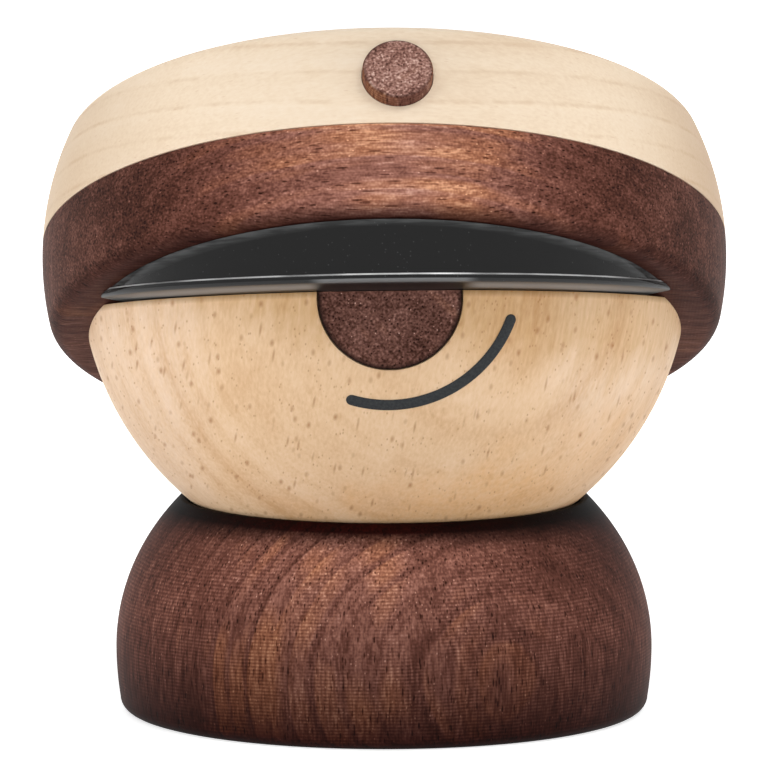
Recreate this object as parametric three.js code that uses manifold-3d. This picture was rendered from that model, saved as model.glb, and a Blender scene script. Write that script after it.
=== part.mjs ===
// Wooden student figurine: a ball head in a student's cap, turning on a domed body.
// Millimetres and degrees, +Z up, the face looks along -Y.
// The origin is on the flat underside of the body, on the neck's axis.
import * as THREE from "three";
import { mergeVertices } from "three/addons/utils/BufferGeometryUtils.js";
import Module from "manifold-3d";

const wasm = await Module();
wasm.setup();

// Body
const bodyRadius = 38.5;
const bodyWidestHeight = 9.1;
const bodyDomeHeight = 33.2;
const bodySkirtHeight = 41.8;
const bodyEdgeRadius = 2;
const dishFloorHeight = 20;
const dishRimWidth = 0.4;

// Head
const ballRadius = 43.5;
const headTurn = 1.6;

// Shelf cut in the front of the ball, on which the visor lies
const shelfTilt = 9.4;
const shelfRoll = 0.5;
const shelfDrop = 6.1;

// Cap
const capTilt = 25.8;
const capDrop = 10.7;
const capForward = 2.3;
const capOverhang = 5.25;
const capWidestHeight = 11;
const capSideRadius = 42;
const capLowerEdgeRadius = 2.5;
const capShoulderRadius = 2.2;
const capDomeRadius = 190;
const capHeight = 34;
const bandHeight = 12.9;

// Visor
const visorInset = 1.5;
const visorOverhang = 6.9;
const visorBeadDrop = 1.2;
const visorBeadRise = 0.8;
const visorBeadProud = 0.4;
const visorTaper = 5;
const visorEdgeRadius = 0.5;

// Nose and smile
const noseRadius = 9.9;
const noseTurn = -0.48;
const noseLength = 12;
const noseProud = 0.4;
const noseEdgeRadius = 0.4;
const smileClearance = 8.1;
const smileRise = 3;
const smileSide = -0.25;
const smileWidth = 1.6;
const smileThickness = 0.25;
const smileStart = -16;
const smileEnd = 69.3;

// Button on the cap
const buttonRadius = 4.85;
const buttonHeight = 20.3;
const buttonTurn = 0.85;
const buttonLength = 8;
const buttonProud = 1.75;
const buttonEdgeRadius = 0.7;

// Dowels
const neckDowelRadius = 5;
const neckDowelDepth = 12;
const capDowelRadius = 6;
const capDowelDepth = 11;
const dowelChamfer = 0.8;

// Clearances
const seatGap = 0.3;
const glueGap = 0.1;
const dowelGap = 0.1;
const dowelEndGap = 0.4;
const paintGap = 0.05;

// Facets
const roundSides = 64;
const dowelSides = 36;
const ballRings = 32;
const edgeSteps = 4;
const domeSteps = 9;
const dishSteps = 6;
const beadSteps = 8;
const bandSideSteps = 4;
const crownSideSteps = 6;
const crownDomeSteps = 5;
const strokeSteps = 20;
const strokeEndSteps = 6;
const rimHalvings = 40;
const weldDistance = 1e-4;

const ballHeight = dishFloorHeight + seatGap + ballRadius;
const capRadius = ballRadius + capOverhang;
const visorRadius = ballRadius - visorInset;
const radians = THREE.MathUtils.degToRad;
const farAway = 4 * capRadius;

const hardwood = new THREE.MeshStandardMaterial({ color: "#77493a", roughness: 0.5, metalness: 0 });
const endGrain = new THREE.MeshStandardMaterial({ color: "#6b4a3e", roughness: 0.65, metalness: 0 });
const beech = new THREE.MeshStandardMaterial({ color: "#e3c197", roughness: 0.5, metalness: 0 });
const maple = new THREE.MeshStandardMaterial({ color: "#f2dec2", roughness: 0.5, metalness: 0 });
const blackLacquer = new THREE.MeshStandardMaterial({ color: "#2a2a2b", roughness: 0.3, metalness: 0 });
const blackPaint = new THREE.MeshStandardMaterial({ color: "#3c3e41", roughness: 0.6, metalness: 0 });

// Points of an arc from one angle to another, angles in radians, round or flattened to another rise
function arc(centre, radius, from, to, steps, rise = radius) {
  const points = [];
  for (let i = 0; i <= steps; i += 1) {
    const angle = from + ((to - from) * i) / steps;
    points.push(new THREE.Vector2(centre.x + radius * Math.cos(angle), centre.y + rise * Math.sin(angle)));
  }
  return points;
}

// The angle at which a point lies, seen from a centre
function angleOf(centre, point) {
  return Math.atan2(point.y - centre.y, point.x - centre.x);
}

// Where two circles meet, on the side away from the turning axis
function meeting(centreA, radiusA, centreB, radiusB) {
  const apart = centreB.clone().sub(centreA);
  const distance = apart.length();
  const along = (distance ** 2 + radiusA ** 2 - radiusB ** 2) / (2 * distance);
  const across = Math.sqrt(radiusA ** 2 - along ** 2);
  const unit = apart.normalize();
  const foot = centreA.clone().addScaledVector(unit, along);
  const normal = new THREE.Vector2(-unit.y, unit.x);
  const one = foot.clone().addScaledVector(normal, across);
  const other = foot.clone().addScaledVector(normal, -across);
  return one.x > other.x ? one : other;
}

// A profile of (radius, height) points, given from the bottom up, turned about Z
function turned(profile, sides) {
  return new THREE.LatheGeometry(profile, sides).rotateX(Math.PI / 2);
}

// A closed geometry as a solid that can be joined and cut
function solid(geometry) {
  const bare = geometry.clone();
  bare.deleteAttribute("normal");
  bare.deleteAttribute("uv");
  const merged = mergeVertices(bare, weldDistance);
  const corners = merged.index.array;
  const kept = [];
  for (let i = 0; i < corners.length; i += 3) {
    const [a, b, c] = [corners[i], corners[i + 1], corners[i + 2]];
    if (a !== b && b !== c && c !== a) {
      kept.push(a, b, c);
    }
  }
  const mesh = new wasm.Mesh({
    numProp: 3,
    vertProperties: new Float32Array(merged.attributes.position.array),
    triVerts: new Uint32Array(kept),
  });
  return new wasm.Manifold(mesh);
}

// A solid as a geometry again
function geometryOf(body) {
  const mesh = body.getMesh();
  const geometry = new THREE.BufferGeometry();
  geometry.setAttribute("position", new THREE.BufferAttribute(mesh.vertProperties, 3));
  geometry.setIndex(new THREE.BufferAttribute(mesh.triVerts, 1));
  geometry.computeVertexNormals();
  return geometry;
}

// Everything above the XY plane of a frame, raised by an offset
function above(frame, offset) {
  const block = new THREE.BoxGeometry(farAway, farAway, farAway);
  return solid(block.translate(0, 0, farAway / 2 + offset).applyMatrix4(frame));
}

// A dowel on the Z axis with an edge rounded or chamfered at each end
function dowel(radius, from, to, lowerEdge, upperEdge, steps) {
  const lower = new THREE.Vector2(radius - lowerEdge, from + lowerEdge);
  const upper = new THREE.Vector2(radius - upperEdge, to - upperEdge);
  return turned(
    [
      new THREE.Vector2(0, from),
      ...arc(lower, lowerEdge, -Math.PI / 2, 0, steps),
      ...arc(upper, upperEdge, 0, Math.PI / 2, steps),
      new THREE.Vector2(0, to),
    ],
    dowelSides,
  );
}

// The hole that such a dowel sits in
function bore(radius, from, to) {
  const height = to - from;
  const cylinder = new THREE.CylinderGeometry(radius, radius, height, dowelSides);
  return cylinder.rotateX(Math.PI / 2).translate(0, 0, (from + to) / 2);
}

// A frame leaning back about X and then to one side, at a place in the head's own frame
function leaningFrame(tilt, y, z, roll = 0) {
  const toOneSide = new THREE.Matrix4().makeRotationY(-radians(roll));
  return new THREE.Matrix4().makeRotationX(-radians(tilt)).multiply(toOneSide).setPosition(0, y, z);
}

// Frames in the head's frame, whose origin is the centre of the ball
const capSine = Math.sin(radians(capTilt));
const capCosine = Math.cos(radians(capTilt));
const capFrame = leaningFrame(
  capTilt,
  -capDrop * capSine - capForward * capCosine,
  -capDrop * capCosine + capForward * capSine,
);
const visorCentreY = visorRadius * Math.cos(radians(shelfTilt)) - ballRadius - visorOverhang;
const shelfFrame = leaningFrame(
  shelfTilt,
  visorCentreY,
  -shelfDrop - visorCentreY * Math.tan(radians(shelfTilt)),
  shelfRoll,
);

// The neck dowel runs up from the body into the ball
const neckDowelBottom = dishFloorHeight - neckDowelDepth;
const neckDowelTop = dishFloorHeight + seatGap + neckDowelDepth;

function makeBody() {
  const domeCentre = new THREE.Vector2(0, ballHeight);
  const dishRadius = ballRadius + seatGap;
  const skirtStart = -Math.asin((bodyWidestHeight - bodyEdgeRadius) / bodySkirtHeight);
  const edgeX = bodyRadius * Math.cos(skirtStart) - bodyEdgeRadius;
  const onDome = (t) => new THREE.Vector2(
    bodyRadius * Math.cos(t),
    bodyWidestHeight + bodyDomeHeight * Math.sin(t),
  );
  // The dome stops where it comes within the rim's width of the dish
  let low = 0;
  let high = Math.PI / 2;
  for (let i = 0; i < rimHalvings; i += 1) {
    const middle = (low + high) / 2;
    if (onDome(middle).distanceTo(domeCentre) > dishRadius + dishRimWidth) {
      low = middle;
    } else {
      high = middle;
    }
  }
  const rim = onDome(low);
  const dishStart = -Math.acos((ballHeight - rim.y) / dishRadius);
  const profile = [new THREE.Vector2(0, 0)];
  profile.push(...arc(new THREE.Vector2(edgeX, bodyEdgeRadius), bodyEdgeRadius, -Math.PI / 2, 0, edgeSteps));
  for (const t of [skirtStart / 2, 0]) {
    const height = bodyWidestHeight + bodySkirtHeight * Math.sin(t);
    profile.push(new THREE.Vector2(bodyRadius * Math.cos(t), height));
  }
  for (let i = 1; i <= domeSteps; i += 1) {
    profile.push(onDome((low * i) / domeSteps));
  }
  for (let i = 0; i < dishSteps; i += 1) {
    const angle = (dishStart * (dishSteps - i)) / dishSteps;
    const radius = -dishRadius * Math.sin(angle);
    profile.push(new THREE.Vector2(radius, ballHeight - dishRadius * Math.cos(angle)));
  }
  profile.push(new THREE.Vector2(0, dishFloorHeight));
  const hole = bore(neckDowelRadius + dowelGap, neckDowelBottom - dowelEndGap, ballHeight);
  return geometryOf(solid(turned(profile, roundSides)).subtract(solid(hole)));
}

function makeNeckDowel() {
  return dowel(neckDowelRadius, neckDowelBottom, neckDowelTop, dowelChamfer, dowelChamfer, 1);
}

// The nose lies along -Y, with its face a little proud of the ball at its rim
const noseFace = Math.sqrt(ballRadius ** 2 - noseRadius ** 2) + noseProud;
const noseBack = noseFace - noseLength;

// From the Z axis to the direction in which the nose looks
function facingForward(geometry) {
  return geometry.rotateX(Math.PI / 2).rotateZ(radians(noseTurn));
}

function ball(radius) {
  return new THREE.SphereGeometry(radius, roundSides, ballRings).rotateX(Math.PI / 2);
}

function makeHead() {
  const neckHole = bore(neckDowelRadius + dowelGap, -farAway, neckDowelTop + dowelEndGap - ballHeight);
  const capHole = bore(capDowelRadius + dowelGap, -capDowelDepth - dowelEndGap, farAway);
  const noseHole = facingForward(bore(noseRadius + dowelGap, noseBack - dowelEndGap, farAway));
  return geometryOf(
    solid(ball(ballRadius))
      .subtract(above(capFrame, 0))
      .subtract(above(shelfFrame, 0))
      .subtract(solid(neckHole))
      .subtract(solid(capHole.applyMatrix4(capFrame)))
      .subtract(solid(noseHole)),
  );
}

function makeNose() {
  const whole = dowel(noseRadius, noseBack, noseFace, dowelChamfer, noseEdgeRadius, 2);
  return geometryOf(solid(facingForward(whole)).subtract(above(shelfFrame, 0)));
}

// A stroke of even width with round ends, on an arc below the nose, laid on the ball
function makeSmile() {
  const middle = new THREE.Vector2(smileSide, smileRise);
  const radius = noseRadius + smileClearance;
  const from = radians(smileStart - 90);
  const to = radians(smileEnd - 90);
  const startCap = new THREE.Vector2(middle.x + radius * Math.cos(from), middle.y + radius * Math.sin(from));
  const endCap = new THREE.Vector2(middle.x + radius * Math.cos(to), middle.y + radius * Math.sin(to));
  const half = smileWidth / 2;
  const outline = [
    ...arc(middle, radius + half, from, to, strokeSteps),
    ...arc(endCap, half, to, to + Math.PI, strokeEndSteps).slice(1, -1),
    ...arc(middle, radius - half, to, from, strokeSteps),
    ...arc(startCap, half, from + Math.PI, from + 2 * Math.PI, strokeEndSteps).slice(1, -1),
  ];
  const stamp = new THREE.ExtrudeGeometry(new THREE.Shape(outline), { depth: farAway, bevelEnabled: false });
  const inner = ballRadius + paintGap;
  return geometryOf(
    solid(facingForward(stamp))
      .intersect(solid(ball(inner + smileThickness)))
      .subtract(solid(ball(inner))),
  );
}

// A disc with a bead round its edge and a conical taper under it, cut to a wedge by the cap's underside
function makeVisor() {
  const crest = glueGap + visorBeadDrop;
  const wall = visorRadius - visorBeadProud;
  const edge = new THREE.Vector2(visorRadius - visorEdgeRadius, crest);
  const taperStart = new THREE.Vector2(visorRadius - visorTaper, glueGap);
  const reach = edge.distanceTo(taperStart);
  const slope = angleOf(taperStart, edge) - Math.asin(visorEdgeRadius / reach);
  const over = new THREE.Vector2(wall, crest);
  const profile = [
    new THREE.Vector2(0, glueGap),
    taperStart,
    ...arc(edge, visorEdgeRadius, slope - Math.PI / 2, 0, beadSteps),
    ...arc(over, visorBeadProud, 0, Math.PI / 2, edgeSteps, visorBeadRise).slice(1),
    new THREE.Vector2(wall, capRadius),
    new THREE.Vector2(0, capRadius),
  ];
  const disc = solid(turned(profile, roundSides));
  const capInShelf = shelfFrame.clone().invert().multiply(capFrame);
  return geometryOf(disc.subtract(above(capInShelf, -glueGap)));
}

// The cap's outline: flat underside, rounded lower edge, bulging side, shoulder, dome
const sideCentre = new THREE.Vector2(capRadius - capSideRadius, capWidestHeight);
const domeCentre = new THREE.Vector2(0, capHeight - capDomeRadius);
const lowerEdgeReach = Math.sqrt(
  (capSideRadius - capLowerEdgeRadius) ** 2 - (capWidestHeight - capLowerEdgeRadius) ** 2,
);
const lowerEdgeCentre = new THREE.Vector2(sideCentre.x + lowerEdgeReach, capLowerEdgeRadius);
const shoulderCentre = meeting(
  sideCentre,
  capSideRadius - capShoulderRadius,
  domeCentre,
  capDomeRadius - capShoulderRadius,
);
const sideAngleAtSeam = Math.asin((bandHeight - capWidestHeight) / capSideRadius);

function makeBand() {
  const sideStart = angleOf(sideCentre, lowerEdgeCentre);
  const profile = [
    new THREE.Vector2(0, 0),
    ...arc(lowerEdgeCentre, capLowerEdgeRadius, -Math.PI / 2, sideStart, edgeSteps),
    ...arc(sideCentre, capSideRadius, sideStart, sideAngleAtSeam, bandSideSteps).slice(1),
    new THREE.Vector2(0, bandHeight),
  ];
  const hole = bore(capDowelRadius + dowelGap, -capHeight, capHeight);
  return geometryOf(solid(turned(profile, roundSides)).subtract(solid(hole)));
}

// The button's axis is square to the crown's side
const buttonAngle = Math.asin((buttonHeight - capWidestHeight) / capSideRadius);
const buttonFace = capSideRadius + buttonProud;
const buttonFrame = new THREE.Matrix4()
  .makeRotationX(Math.PI / 2 - buttonAngle)
  .setPosition(0, -sideCentre.x, sideCentre.y)
  .premultiply(new THREE.Matrix4().makeRotationZ(radians(buttonTurn)));

function makeCrown() {
  const seam = bandHeight + glueGap;
  const seamAngle = Math.asin((seam - capWidestHeight) / capSideRadius);
  const sideEnd = angleOf(sideCentre, shoulderCentre);
  const domeEdge = angleOf(domeCentre, shoulderCentre);
  const profile = [
    new THREE.Vector2(0, seam),
    ...arc(sideCentre, capSideRadius, seamAngle, sideEnd, crownSideSteps),
    ...arc(shoulderCentre, capShoulderRadius, sideEnd, domeEdge, edgeSteps).slice(1),
    ...arc(domeCentre, capDomeRadius, domeEdge, Math.PI / 2, crownDomeSteps).slice(1),
  ];
  const dowelHole = bore(capDowelRadius + dowelGap, 0, bandHeight + capDowelDepth + dowelEndGap);
  const buttonHole = bore(buttonRadius + dowelGap, buttonFace - buttonLength - dowelEndGap, farAway);
  return geometryOf(
    solid(turned(profile, roundSides))
      .subtract(solid(dowelHole))
      .subtract(solid(buttonHole.applyMatrix4(buttonFrame))),
  );
}

function makeCapDowel() {
  return dowel(capDowelRadius, -capDowelDepth, bandHeight + capDowelDepth, dowelChamfer, dowelChamfer, 1);
}

function makeButton() {
  const pin = dowel(buttonRadius, buttonFace - buttonLength, buttonFace, dowelChamfer, buttonEdgeRadius, 3);
  return pin.applyMatrix4(buttonFrame);
}

function piece(name, geometry, material) {
  const mesh = new THREE.Mesh(geometry, material);
  mesh.name = name;
  return mesh;
}

const cap = new THREE.Group();
cap.applyMatrix4(capFrame);
cap.add(piece("cap_band", makeBand(), hardwood));
cap.add(piece("cap_crown", makeCrown(), maple));
cap.add(piece("cap_dowel", makeCapDowel(), beech));
cap.add(piece("cap_button", makeButton(), endGrain));

const visor = piece("visor", makeVisor(), blackLacquer);
visor.applyMatrix4(shelfFrame);

const head = new THREE.Group();
head.position.z = ballHeight;
head.rotation.z = radians(headTurn);
head.add(piece("head", makeHead(), beech));
head.add(piece("nose", makeNose(), endGrain));
head.add(piece("smile", makeSmile(), blackPaint));
head.add(visor);
head.add(cap);

const figurine = new THREE.Group();
figurine.add(piece("body", makeBody(), hardwood));
figurine.add(piece("neck_dowel", makeNeckDowel(), beech));
figurine.add(head);

export default figurine;
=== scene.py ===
# %% [markdown]
# # A turned wooden student figurine
#
# The real object is a desk figure about 100 mm high: a ball of pale beech with a
# student's cap, turning on a domed body of a reddish-brown hardwood. All of it is
# turned on a lathe, cut by a few flat planes and glued up on dowels. The scene loads
# the exact CAD solids first and keeps every piece in their place.

# %% The CAD frame
import math

import bmesh
import bpy
from mathutils import Matrix, Vector


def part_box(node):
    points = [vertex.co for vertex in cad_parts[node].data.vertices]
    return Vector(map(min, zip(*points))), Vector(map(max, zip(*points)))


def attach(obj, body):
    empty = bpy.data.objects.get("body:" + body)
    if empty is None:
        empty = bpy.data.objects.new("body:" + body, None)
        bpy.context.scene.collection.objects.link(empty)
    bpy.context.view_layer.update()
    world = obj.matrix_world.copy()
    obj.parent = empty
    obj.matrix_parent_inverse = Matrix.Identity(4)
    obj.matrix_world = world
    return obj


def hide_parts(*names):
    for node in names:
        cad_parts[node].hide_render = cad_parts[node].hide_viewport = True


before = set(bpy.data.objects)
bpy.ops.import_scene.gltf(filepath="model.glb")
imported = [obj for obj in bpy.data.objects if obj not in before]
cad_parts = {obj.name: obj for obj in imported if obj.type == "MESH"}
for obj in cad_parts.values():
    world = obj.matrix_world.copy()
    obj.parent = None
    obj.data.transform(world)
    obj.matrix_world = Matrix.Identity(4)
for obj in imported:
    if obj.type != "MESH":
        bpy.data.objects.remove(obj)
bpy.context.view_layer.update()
print("CAD nodes:", ", ".join(sorted(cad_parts)))

# %% [markdown]
# ## Camera, backdrop and light
#
# The photograph was taken from about a metre away, seven degrees above level, on.
# Size and place come first, because every later render is compared through this
# camera.
# # plain white. A long lens at the same distance gives the same perspective. Size and
# # place come first.

# %% Camera
MM = 0.001
CAMERA_DISTANCE, CAMERA_ELEVATION = 1.0031, 6.87
CAMERA_TARGET = Vector((0.00014, 0, 0.04664))
LENS, SENSOR_WIDTH = 327.3, 36
NEAREST, FARTHEST = 0.05, 20


def aimed(made, azimuth, elevation, distance):
    """Puts a camera or lamp at a turn from the front and a rise, in degrees, facing the figure."""
    turn, rise = math.radians(azimuth), math.radians(elevation)
    away = Vector((math.sin(turn), -math.cos(turn), math.tan(rise))) * math.cos(rise)
    made.location = CAMERA_TARGET + away * distance
    made.rotation_mode = "QUATERNION"
    made.rotation_quaternion = (-away).to_track_quat("-Z", "Y")
    bpy.context.scene.collection.objects.link(made)


camera_data = bpy.data.cameras.new("camera")
camera_data.lens, camera_data.sensor_width = LENS, SENSOR_WIDTH
camera_data.clip_start, camera_data.clip_end = NEAREST, FARTHEST
camera = bpy.data.objects.new("camera", camera_data)
aimed(camera, 0, CAMERA_ELEVATION, CAMERA_DISTANCE)
bpy.context.scene.camera = camera
bpy.context.scene.view_settings.view_transform = "Standard"
print("camera at", [round(v, 3) for v in camera.location])

# %% [markdown]
# Small helpers do most of the work on materials. The first turns an sRGB colour, as a
# paint card gives it, into the linear values that a shader wants. The second adds one
# node with its settings and links, and the third clears a new material for them.

# %% Colour and node helpers
FACTOR, COLOUR_A, COLOUR_B, MIXED = 0, 6, 7, 2
SOFT = {"interpolation_type": "SMOOTHSTEP"}


def linear(hex_colour):
    """An sRGB hex colour as the linear RGBA of a shader."""
    channels = [int(hex_colour[i:i + 2], 16) / 255 for i in (1, 3, 5)]
    return [c / 12.92 if c <= 0.04045 else ((c + 0.055) / 1.055) ** 2.4 for c in channels] + [1.0]


def add(tree, kind, inputs=None, stops=None, span=(), **settings):
    """Adds a node: a shader node, unless its kind says another. Inputs are values, nodes or
    sockets, by socket name or number. Stops are a colour ramp's, and a span is a Map Range's:
    from low, from high, to low, to high."""
    made = tree.nodes.new(kind if "Node" in kind else "ShaderNode" + kind)
    for key, value in settings.items():
        setattr(made, key, value)
    for key, value in [*(inputs or {}).items(), *enumerate(span, 1)]:
        if isinstance(value, bpy.types.Node):
            value = value.outputs[0]
        if isinstance(value, bpy.types.NodeSocket):
            tree.links.new(value, made.inputs[key])
        else:
            made.inputs[key].default_value = value
    if stops:
        elements = made.color_ramp.elements
        while len(elements) < len(stops):
            elements.new(0.5)
        for element, (place, colour) in zip(elements, stops):
            element.position = place
            element.color = linear(colour)
    return made


def emptied(made):
    """A new material or world, and its node tree with nothing in it yet."""
    made.use_nodes = True
    made.node_tree.nodes.clear()
    return made, made.node_tree


print("mid grey as a shader wants it:", round(linear("#808080")[0], 3))

# %% [markdown]
# The backdrop is white paper. It is white to the camera and in reflections, while as
# a light it stays weak. Near the figure the paper glows less, which keeps the shadow.

# %% World
AMBIENT = 0.21


def seen_white(tree):
    """1 for a ray that shows the backdrop itself, straight, mirrored or through glass, and 0 for
    its light."""
    rays = add(tree, "LightPath").outputs
    shown = add(tree, "Math", {0: rays["Is Camera Ray"], 1: rays["Is Glossy Ray"]},
                operation="MAXIMUM")
    return add(tree, "Math", {0: shown, 1: rays["Is Transmission Ray"]}, operation="MAXIMUM")


world, studio = emptied(bpy.data.worlds.new("white_studio"))
bpy.context.scene.world = world
strength = add(studio, "MapRange", {"Value": seen_white(studio)}, span=(0.0, 1.0, AMBIENT, 1.0))
white = add(studio, "Background", {"Color": (1, 1, 1, 1), "Strength": strength})
add(studio, "OutputWorld", {"Surface": white})
print("ambient light", AMBIENT)

# %% Floor
FLOOR_SIZE = 12
SHADOW_NEAR, SHADOW_FAR = 0.04, 0.3
PAPER_NEAR, PAPER_FAR = 0.7, 1.0

floor_mesh = bpy.data.meshes.new("floor")
half = FLOOR_SIZE / 2
floor_mesh.from_pydata([(-half, -half, 0), (half, -half, 0), (half, half, 0), (-half, half, 0)],
                       [], [(0, 1, 2, 3)])
floor = bpy.data.objects.new("floor", floor_mesh)
bpy.context.scene.collection.objects.link(floor)
paper, sheet = emptied(bpy.data.materials.new("white_studio_paper"))
spot = add(sheet, "TexCoord").outputs["Object"]
away = add(sheet, "VectorMath", {0: spot}, operation="LENGTH").outputs["Value"]
paper_white = add(sheet, "MapRange", {"Value": away},
                  span=(SHADOW_NEAR, SHADOW_FAR, PAPER_NEAR, PAPER_FAR))
glow = add(sheet, "Math", {0: seen_white(sheet), 1: paper_white}, operation="MULTIPLY")
lit = add(sheet, "BsdfDiffuse", {"Color": (0.8, 0.8, 0.8, 1)})
own = add(sheet, "Emission", {"Color": (1, 1, 1, 1), "Strength": glow})
add(sheet, "OutputMaterial", {"Surface": add(sheet, "AddShader", {0: lit, 1: own})})
floor_mesh.materials.append(paper)
print("floor of", FLOOR_SIZE, "m")

# %% [markdown]
# The light is plain and soft: a long strip high in front, a box on each side above the
# shoulder and one behind, and low, weak ones that lift the underside of the ball. The
# low ones are kept out of reflections, because the visor's lacquer would mirror them
# as bright bars that the real one doesn't show.

# %% Lamps
# name: (azimuth and elevation in degrees, distance, width and height in metres, watts)
LAMPS = {
    "key_strip": (24, 62, 1.3, 1.3, 0.03, 2.6),
    "upper_left": (-48, 52, 1.2, 0.6, 0.5, 2.7),
    "upper_right": (48, 52, 1.2, 0.6, 0.5, 3.3),
    "low_left": (-78, 2, 0.9, 1.0, 0.15, 4.7),
    "low_right": (78, 2, 0.9, 1.0, 0.15, 3.8),
    "low_front": (0, 2, 0.9, 0.6, 0.15, 2.0),
    "back": (180, 40, 1.3, 1.2, 0.5, 3.5),
}
MIRRORED_ABOVE = 10

for name, (azimuth, elevation, distance, width, height, watts) in LAMPS.items():
    lamp_data = bpy.data.lights.new(name, "AREA")
    lamp_data.shape = "RECTANGLE"
    lamp_data.size, lamp_data.size_y = width, height
    lamp_data.energy = watts
    lamp = bpy.data.objects.new(name, lamp_data)
    lamp.visible_glossy = elevation > MIRRORED_ABOVE
    aimed(lamp, azimuth, elevation, distance)
print(len(LAMPS), "lamps")

# %% [markdown]
# ## Sizes and frames
#
# All sizes are in millimetres, as the turner would write them. The head turns a
# little to one side, the cap leans back on the ball, and the visor lies on a shelf
# cut in front of it, so each of the three has a frame of its own.

# %% Sizes
BODY_RADIUS, BODY_WIDEST, BODY_DOME, BODY_SKIRT, BODY_EDGE = 38.5, 9.1, 33.2, 41.8, 2
DISH_FLOOR, DISH_RIM = 20, 0.4
BALL_RADIUS, HEAD_TURN = 43.5, 1.6
SHELF_TILT, SHELF_ROLL, SHELF_DROP = 9.4, 0.5, 6.1
CAP_TILT, CAP_DROP, CAP_FORWARD, CAP_OVERHANG = 25.8, 10.7, 2.3, 5.25
CAP_WIDEST, CAP_SIDE, CAP_LOWER_EDGE, CAP_SHOULDER = 11, 42, 2.5, 2.2
CAP_DOME, CAP_HEIGHT, BAND_HEIGHT = 190, 34, 12.9
VISOR_INSET, VISOR_OVERHANG, VISOR_TAPER, VISOR_EDGE = 1.5, 6.9, 5, 0.5
BEAD_DROP, BEAD_RISE, BEAD_PROUD = 1.2, 0.8, 0.4
NOSE_RADIUS, NOSE_TURN, NOSE_LENGTH, NOSE_PROUD, NOSE_EDGE = 9.9, -0.48, 12, 0.4, 0.4
BUTTON_RADIUS, BUTTON_HEIGHT, BUTTON_TURN = 4.85, 20.3, 0.85
BUTTON_LENGTH, BUTTON_PROUD, BUTTON_EDGE = 8, 1.75, 0.7
SMILE_RADIUS, SMILE_SIDE, SMILE_RISE, SMILE_WIDTH = 18, -0.25, 3, 1.6
# The film's middle is SMILE_LIFT above the ball, and it swells by SMILE_SWELL each way
SMILE_START, SMILE_END, SMILE_LIFT, SMILE_SWELL = -16, 69.3, 0.06, 0.14
NECK_DOWEL, NECK_DEPTH, CAP_DOWEL, CAP_DOWEL_DEPTH = 5, 12, 6, 11
SEAT_GAP, GLUE_GAP, DOWEL_GAP, DOWEL_END = 0.3, 0.1, 0.1, 0.4

BALL_HEIGHT = DISH_FLOOR + SEAT_GAP + BALL_RADIUS
CAP_RADIUS = BALL_RADIUS + CAP_OVERHANG
VISOR_RADIUS = BALL_RADIUS - VISOR_INSET
print("ball centre", BALL_HEIGHT, "mm up, cap", 2 * CAP_RADIUS, "mm across")

# %% Frames
def shift(x, y, z):
    return Matrix.Translation((x, y, z))


def swing(degrees, axis):
    return Matrix.Rotation(math.radians(degrees), 4, axis)


shelf_lean = math.radians(SHELF_TILT)
visor_y = VISOR_RADIUS * math.cos(shelf_lean) - BALL_RADIUS - VISOR_OVERHANG
side_x = CAP_RADIUS - CAP_SIDE
button_angle = math.degrees(math.asin((BUTTON_HEIGHT - CAP_WIDEST) / CAP_SIDE))
HEAD = shift(0, 0, BALL_HEIGHT) @ swing(HEAD_TURN, "Z")
CAP = HEAD @ swing(-CAP_TILT, "X") @ shift(0, -CAP_FORWARD, -CAP_DROP)
SHELF = (HEAD @ shift(0, visor_y, -SHELF_DROP - visor_y * math.tan(shelf_lean))
         @ swing(-SHELF_TILT, "X") @ swing(-SHELF_ROLL, "Y"))
FACE = HEAD @ swing(NOSE_TURN, "Z")
NOSE = FACE @ swing(90, "X")
BUTTON = (CAP @ swing(BUTTON_TURN, "Z") @ shift(0, -side_x, CAP_WIDEST)
          @ swing(90 - button_angle, "X"))
print("cap frame at", [round(v, 1) for v in CAP.translation])

# %% [markdown]
# ## The lathe
#
# Every main piece is turned: its shape is a profile swept round an axis. Blender's
# Spin or a Screw modifier could do that, but a small Geometry Nodes tree says the
# rule itself: a grid has one column for each step round the axis and one row for
# each point of the profile, and every grid point fetches its profile point and turns
# it by its own angle. The last column falls on the first and is merged with it.

# %% Both ends of a tree
def new_tree(name, **inputs):
    """A Geometry Nodes tree with named inputs, and their sockets inside it."""
    tree = bpy.data.node_groups.new(name, "GeometryNodeTree")
    for title, kind in inputs.items():
        tree.interface.new_socket(title, in_out="INPUT", socket_type="NodeSocket" + kind)
    tree.interface.new_socket("Result", in_out="OUTPUT", socket_type="NodeSocketGeometry")
    return tree, add(tree, "NodeGroupInput").outputs


def finished(tree, geometry, material):
    """Smooths what a tree has made, makes it real and gives it its material."""
    smooth = add(tree, "GeometryNodeSetShadeSmooth", {"Geometry": geometry})
    real = add(tree, "GeometryNodeRealizeInstances", {"Geometry": smooth})
    skin = add(tree, "GeometryNodeSetMaterial", {"Geometry": real, "Material": material})
    add(tree, "NodeGroupOutput", {0: skin})
    return tree


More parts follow.
